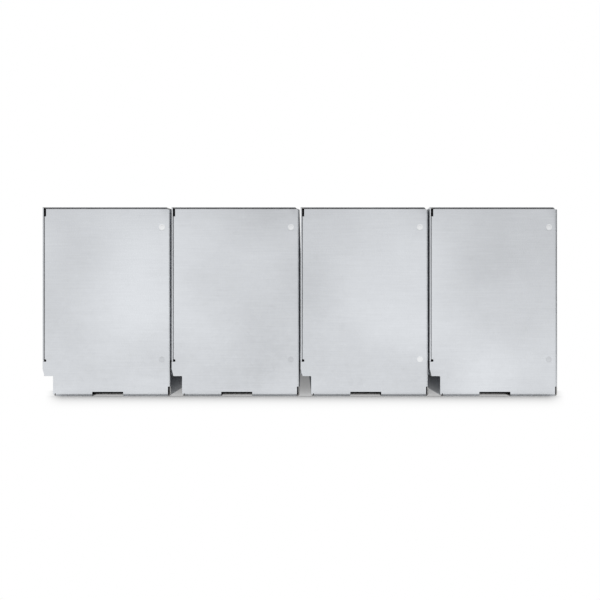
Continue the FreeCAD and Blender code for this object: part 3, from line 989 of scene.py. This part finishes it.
def moulded(name, plain, patchy, rough, grain, gloss=0.5):
    """Moulded plastic with a fine grain and rubbed patches, or the nearly black painted shade inside a case
    with a fine grain and mottled patches.
    """
    material, shader = new_material(name)
    place = coordinates(material.node_tree)
    patches = noise(place, scale=60.0, detail=4.0, roughness=0.6)
    fill(shader, {
        "Base Color": mixed(ranged(patches, 0.0, 1.0), plain, patchy),
        "Roughness": ranged(patches, rough - 0.06, rough + 0.08),
        "Specular IOR Level": gloss,
        "Normal": bumped(noise(place, grain, detail=2.0), distance=0.00008, strength=0.35),
    })
    return material


def battery_finish(s, f):
    """Moulded battery container whose terminals, left of the block, are tinned."""
    material = moulded("battery_container", f.block, f.block_worn, rough=0.5, grain=900.0)
    shader = material.node_tree.nodes["Principled BSDF"]
    place = coordinates(material.node_tree)
    tab = (parts_of(place)[X] - CASE_LOW.x) % PITCH < s.tab_end
    container = Value(shader.inputs["Base Color"].links[0].from_socket)
    tinned = mixed(noise(place, scale=400.0), f.tin, f.tin_dark)
    fill(shader, {"Base Color": mixed(tab, container, tinned), "Metallic": tab})
    return material


class BatteryPackOperator:
    """What the operators of the pack share."""

    bl_options = {"REGISTER", "UNDO"}

    def settings(self, context):
        """Sizes and finishes of the pack."""
        return context.scene.battery_pack_sizes, context.scene.battery_pack_finishes

    def numbers(self, context):
        """Numbers of the modules."""
        return range(1, context.scene.battery_pack_sizes.modules + 1)


class BATTERYPACK_OT_trays(BatteryPackOperator, bpy.types.Operator):
    """Folds the steel tray of every module"""

    bl_idname = "battery_pack.trays"
    bl_label = "Case trays"

    def execute(self, context):
        s, f = self.settings(context)
        zinc = {"rough": 0.31, "start": s.front_clouds_and_sheen}
        steel = [
            zinc_sheet("zinc_tray", f.zinc_dark, f.zinc_light, **zinc),
            plated("sheared_edge", f.cut_dark, f.cut_light, rough=0.45, scale=900.0),
            zinc_sheet("bright_weld", f.weld_dark, f.weld_light, **zinc),
            zinc_sheet("dull_weld", f.dull_dark, f.dull_light, **zinc),
            # Painted shade: the nearly black inside of the tray
            moulded("tray_shade_paint", f.paint, f.shade_paint_mottle, rough=0.85, grain=900.0, gloss=0.1),
        ]
        for number in self.numbers(context):
            skin = tray_skin(s, BRIGHT_WELD if number == s.bright_low else DULL_WELD)
            bm = set_down(skin, number)
            piece = add_piece(f"tray_sheet_{number}", bm, steel, f"case_tray_{number}")
            give_thickness(piece, s.sheet, CUT_EDGE, TRAY_SHADE_PAINT)
            break_edges(piece, s.edge)
        return {"FINISHED"}


class BATTERYPACK_OT_covers(BatteryPackOperator, bpy.types.Operator):
    """Cuts the side cover of every module"""

    bl_idname = "battery_pack.covers"
    bl_label = "Side covers"

    def execute(self, context):
        s, f = self.settings(context)
        steel = [
            zinc_sheet("zinc_cover", f.zinc_dark, f.zinc_light, rough=0.38),
            # Painted shade: the nearly black inside of the cover
            moulded("cover_shade_paint", f.paint, f.shade_paint_mottle, rough=0.85, grain=900.0, gloss=0.1),
        ]
        for number in self.numbers(context):
            bm = set_down(cover_skin(s), number)
            piece = add_piece(f"cover_sheet_{number}", bm, steel, f"side_cover_{number}")
            give_thickness(piece, s.cover_sheet, COVER_ZINC, COVER_SHADE_PAINT)
            break_edges(piece, s.edge)
        return {"FINISHED"}


class BATTERYPACK_OT_screws(BatteryPackOperator, bpy.types.Operator):
    """Sets the flush screws of every module"""

    bl_idname = "battery_pack.screws"
    bl_label = "Flush screws"

    def execute(self, context):
        s, f = self.settings(context)
        steel = [plated("screw_plating", f.screw_dark, f.screw, rough=0.3, scale=700.0)]
        for number in self.numbers(context):
            bm = set_down(screw_set(s), number)
            piece = add_piece(f"flush_screws_{number}", bm, steel, f"case_screws_{number}")
            break_edges(piece, s.edge)
        return {"FINISHED"}


class BATTERYPACK_OT_connectors(BatteryPackOperator, bpy.types.Operator):
    """Moulds the rear connector of every module"""

    bl_idname = "battery_pack.connectors"
    bl_label = "Rear connectors"

    def execute(self, context):
        s, f = self.settings(context)
        finishes = [
            moulded("connector_housing", f.housing, f.housing_worn, rough=0.45, grain=1200.0),
            plated("contact_plating", f.contact_dark, f.contact, rough=0.25, scale=300.0),
        ]
        for number in self.numbers(context):
            bm = set_down(connector_body(s), number)
            piece = add_piece(
                f"connector_body_{number}", bm, finishes, f"dc_connector_{number}"
            )
            break_edges(piece, s.connector_edge)
        return {"FINISHED"}


class BATTERYPACK_OT_inside(BatteryPackOperator, bpy.types.Operator):
    """Gives the pieces inside every case their finishes"""

    bl_idname = "battery_pack.inside"
    bl_label = "Inside of the cases"

    def execute(self, context):
        s, f = self.settings(context)
        container = battery_finish(s, f)
        copper = plated("bare_copper", f.copper_dark, f.copper, rough=0.3, scale=250.0)
        board = moulded("insulating_sheet", f.board, f.board_dark, rough=0.5, grain=700.0)
        bracket = zinc_sheet("zinc_bracket", f.zinc_dark, f.zinc_light, rough=0.42)
        for number in self.numbers(context):
            finishes = {f"battery_{number}_{block}": container for block in range(1, s.blocks + 1)}
            finishes[f"wiring_{number}"] = copper
            finishes[f"insulating_sheet_{number}"] = board
            finishes[f"end_stops_{number}"] = bracket
            for name, material in finishes.items():
                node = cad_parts[name]
                node.data.materials.clear()
                node.data.materials.append(material)
        return {"FINISHED"}


class BATTERYPACK_OT_stage(BatteryPackOperator, bpy.types.Operator):
    """Sets the floor, the light and the camera"""

    bl_idname = "battery_pack.stage"
    bl_label = "Stage"

    def execute(self, context):
        stage = context.scene.battery_pack_stage
        self.floor(context, stage)
        self.room(context, stage)
        self.softbox(context, "overhead", stage.overhead, *OVERHEAD_BOX)
        self.softbox(context, "front", stage.front, *FRONT_BOX)
        self.camera(context, stage)
        context.scene.view_settings.view_transform = "Standard"
        return {"FINISHED"}

    def floor(self, context, stage):
        """Pale floor that keeps the pack's shadow and is white away from it."""
        bm = bmesh.new()
        bmesh.ops.create_grid(bm, x_segments=1, y_segments=1, size=FLOOR_HALF)
        mesh = bpy.data.meshes.new("floor")
        bm.to_mesh(mesh)
        bm.free()
        floor = bpy.data.objects.new("floor", mesh)
        context.scene.collection.objects.link(floor)
        material, shader = new_material("floor")
        tint = (*context.scene.battery_pack_finishes.floor, 1.0)
        fill(shader, {"Base Color": tint, "Roughness": 0.9, "Specular IOR Level": 0.0})
        tree = material.node_tree
        x, y, _ = parts_of(coordinates(tree))
        glossy = ray(tree, "Glossy")
        # Before and behind the pack
        beyond = abs(y) - CAD_BOX[1].y
        before = beyond.at_least(0.0)
        shade = ranged(before, 1.0, 0.0, 0.0, stage.shade_reach) ** SHADE_FALL
        along = (1.0 - shade * SHADE_DEEP).at_least(glossy * ranged(before, 0.0, 1.0, *MIRROR_START))
        # The room is dim at both sides, so bare metal sees less white floor there
        right = ranged(x - before * RIGHT_SPREAD, 1.0, stage.right, *MIRROR_RIGHT)
        left = ranged(x + before * LEFT_SPREAD, stage.left, 1.0, *MIRROR_LEFT)
        seen = ray(tree, "Camera").at_least(glossy * right * left)
        # Beside the pack
        wider = ranged(beyond, SHADE_WIDER, 0.0, -WIDER_DEPTH, 0.0)
        side = abs(x - stage.shade_middle) + before * stage.shade_gain - wider
        white_from = stage.shade_half + stage.shade_side
        aside = ranged(side, 0.0, 1.0, stage.shade_half, white_from, interpolation_type="SMOOTHSTEP")
        # Under the pack
        below = (beyond * -1.0).at_least(0.0) / stage.glow_depth
        under = stage.glow / (below + 1.0) * (beyond < -stage.glow_start)
        under = under * ranged(glossy, 1.0, MIRROR_GLOW, 0.0, 1.0)
        clear = 1.0 - (1.0 - along) * (1.0 - aside) * (1.0 - under)
        white = new_value(tree, "ShaderNodeEmission", {"Color": WHITE, "Strength": 1.0})
        surfaces = {0: clear * seen, 1: Value(shader.outputs[0]), 2: white}
        mix = new_value(tree, "ShaderNodeMixShader", surfaces)
        fill(tree.nodes["Material Output"], {"Surface": mix})
        mesh.materials.append(material)

    def room(self, context, stage):
        """White room, brightest at eye level; the camera sees it as plain white."""
        world = bpy.data.worlds.new("room")
        context.scene.world = world
        world.use_nodes = True
        tree = world.node_tree
        x, y, z = parts_of(coordinates(tree, "Generated"))
        walls = ranged(z, stage.horizon, 0.0, *WALL_RISE)
        dim = ranged(x, 1.0, stage.right, *DIM_RIGHT) * ranged(x, stage.left, 1.0, *DIM_LEFT)
        dim = dim.at_least(ranged(y, 0.0, 1.0, *LIT_BACK)).at_least(ranged(z, 0.0, 1.0, *LIT_HIGH))
        ceiling = ranged(y, stage.ceiling, stage.ceiling_back, *CEILING_RUN)
        overhead = ceiling * ranged(z, 0.0, 1.0, *WALL_RISE)
        strength = (walls * dim + overhead).at_least(ray(tree, "Camera"))
        fill(tree.nodes["Background"], {"Color": WHITE, "Strength": strength})

    def softbox(self, context, name, power, size, place):
        """Large softbox turned to the pack; bare metal shows the room and not the lamp."""
        light = bpy.data.lights.new(name, "AREA")
        light.shape = "RECTANGLE"
        light.size, light.size_y = size
        light.energy = power
        lamp = bpy.data.objects.new(name, light)
        lamp.location = place
        aim = axis_vector(Z, CASE.z / 2) - lamp.location
        lamp.rotation_euler = aim.to_track_quat("-Z", "Y").to_euler()
        lamp.visible_glossy = False
        context.scene.collection.objects.link(lamp)

    def camera(self, context, stage):
        """Camera straight in front of the pack."""
        camera = bpy.data.cameras.new("camera")
        camera.sensor_width = SENSOR
        camera.lens = SENSOR * stage.distance / stage.view_width
        camera.shift_x = (stage.view_side - stage.camera_side) / stage.view_width
        camera.shift_y = (stage.view_middle - stage.camera_height) / stage.view_width
        camera.clip_start, camera.clip_end = VIEW_RANGE
        holder = bpy.data.objects.new("camera", camera)
        holder.location = (stage.camera_side, CAD_BOX[0].y - stage.distance, stage.camera_height)
        holder.rotation_euler = (math.pi / 2, 0.0, 0.0)
        context.scene.collection.objects.link(holder)
        context.scene.camera = holder


OPERATORS = (
    BATTERYPACK_OT_trays,
    BATTERYPACK_OT_covers,
    BATTERYPACK_OT_screws,
    BATTERYPACK_OT_connectors,
    BATTERYPACK_OT_inside,
    BATTERYPACK_OT_stage,
)


class BATTERYPACK_PT_panel(bpy.types.Panel):
    """Lists the steps that dress the pack"""

    bl_idname = "BATTERYPACK_PT_panel"
    bl_label = "Battery Pack"
    bl_space_type = "VIEW_3D"
    bl_region_type = "UI"
    bl_category = "Battery Pack"

    def draw(self, context):
        for operator in OPERATORS:
            self.layout.operator(operator.bl_idname)


GROUPS = {
    "battery_pack_sizes": BATTERYPACK_PG_sizes,
    "battery_pack_finishes": BATTERYPACK_PG_finishes,
    "battery_pack_stage": BATTERYPACK_PG_stage,
}
CLASSES = (*GROUPS.values(), *OPERATORS, BATTERYPACK_PT_panel)


def register():
    """Registers the classes and adds the settings to the scene."""
    for cls in CLASSES:
        bpy.utils.register_class(cls)
    for name, group in GROUPS.items():
        setattr(bpy.types.Scene, name, PointerProperty(type=group))


def unregister():
    """Takes the settings and the classes away again."""
    for name in GROUPS:
        delattr(bpy.types.Scene, name)
    for cls in reversed(CLASSES):
        bpy.utils.unregister_class(cls)


def main():
    """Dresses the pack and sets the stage."""
    register()
    bpy.ops.battery_pack.trays()
    bpy.ops.battery_pack.covers()
    bpy.ops.battery_pack.screws()
    bpy.ops.battery_pack.connectors()
    bpy.ops.battery_pack.inside()
    bpy.ops.battery_pack.stage()


if __name__ == "__main__":
    main()
